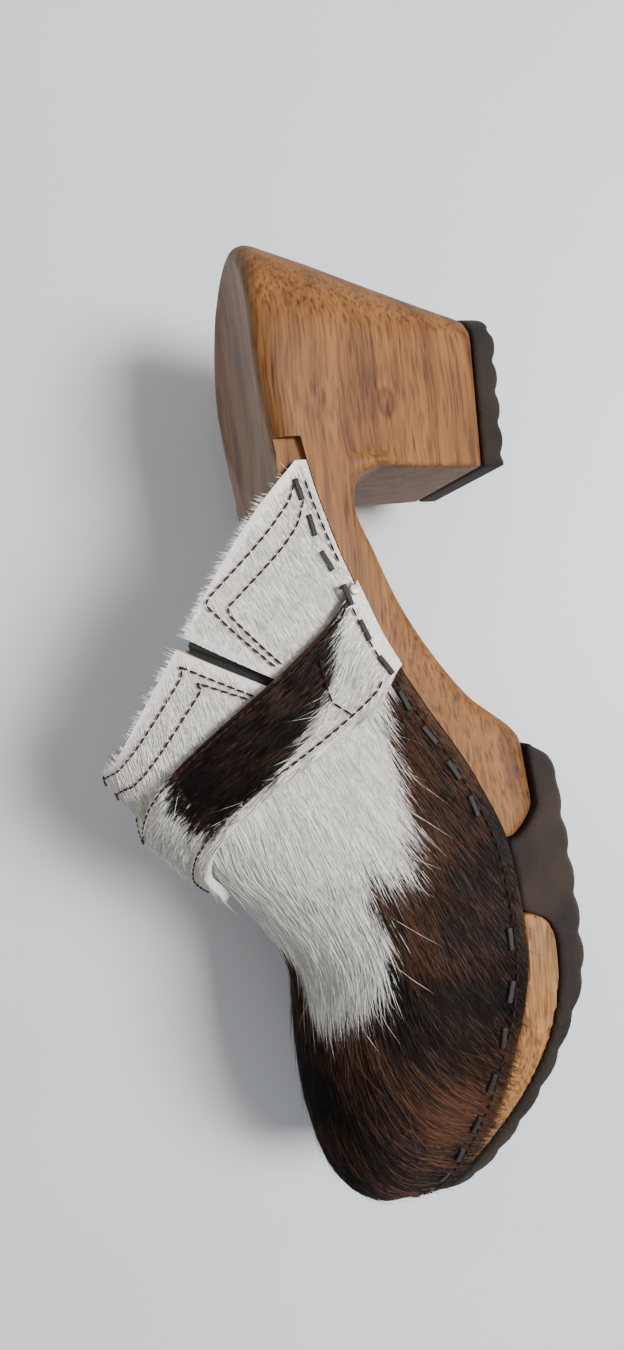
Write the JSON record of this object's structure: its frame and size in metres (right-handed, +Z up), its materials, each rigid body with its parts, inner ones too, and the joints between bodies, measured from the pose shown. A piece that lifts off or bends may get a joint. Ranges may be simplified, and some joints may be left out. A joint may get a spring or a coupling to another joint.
{
  "type": "wooden clog",
  "caption": "High-heeled left clog: a two-part wooden sole flexing on a moulded rubber forefoot, with a stapled hair-on hide vamp, instep strap and collars.",
  "frame": {"origin": "on the floor under the middle of the shoe", "axes": "+X towards the toe, +Y towards the wearer's left, the outer side of this left shoe, +Z up"},
  "size_m": [0.2446, 0.0938, 0.101],
  "materials": {
    "wood": "oiled",
    "rubber": "moulded",
    "hide": "hair-on",
    "lining": "natural",
    "elastic": "woven",
    "staple": "blackened",
    "tack": "worn"
  },
  "bodies": {
    "rear": {"rear_wood": "wood", "heel_lift": "rubber", "ball_outsole": "rubber", "flex_bridge": "rubber", "collar_lateral": "hide", "collar_medial": "hide", "collar_lateral_lining": "lining", "collar_medial_lining": "lining", "elastic_gore": "elastic", "strap": "hide", "staple_rear_lateral_1": "staple", "staple_rear_lateral_2": "staple", "staple_rear_lateral_3": "staple", "staple_rear_lateral_4": "staple", "staple_rear_lateral_5": "staple", "staple_rear_lateral_6": "staple", "staple_rear_lateral_7": "staple", "staple_rear_lateral_8": "staple", "staple_rear_lateral_9": "staple", "staple_rear_lateral_10": "staple", "staple_rear_medial_1": "staple", "staple_rear_medial_2": "staple", "staple_rear_medial_3": "staple", "staple_rear_medial_4": "staple", "staple_rear_medial_5": "staple", "staple_rear_medial_6": "staple", "staple_rear_medial_7": "staple", "staple_rear_medial_8": "staple", "staple_rear_medial_9": "staple", "staple_rear_medial_10": "staple", "strap_tack_lateral": "tack", "strap_tack_medial": "tack"},
    "toe": {"toe_wood": "wood", "toe_outsole": "rubber", "toe_puff": "lining", "vamp": "hide", "vamp_lining": "lining", "staple_toe_1": "staple", "staple_toe_2": "staple", "staple_toe_3": "staple", "staple_toe_4": "staple", "staple_toe_5": "staple", "staple_toe_6": "staple", "staple_toe_7": "staple", "staple_toe_8": "staple", "staple_toe_9": "staple", "staple_toe_10": "staple", "staple_toe_11": "staple", "staple_toe_12": "staple", "staple_toe_13": "staple", "staple_toe_14": "staple", "staple_toe_15": "staple", "staple_toe_16": "staple", "staple_toe_17": "staple", "staple_toe_18": "staple", "staple_toe_19": "staple"}
  },
  "joints": [
    {"name": "toe_flex", "type": "hinge", "parent": "rear", "child": "toe", "pos_m": [0.0328, 0, 0.004], "axis": [0, -1, 0], "range_deg": [0, 18], "stiffness_Nm_per_rad": 4, "deforming": ["flex_bridge", "vamp", "vamp_lining"]}
  ]
}
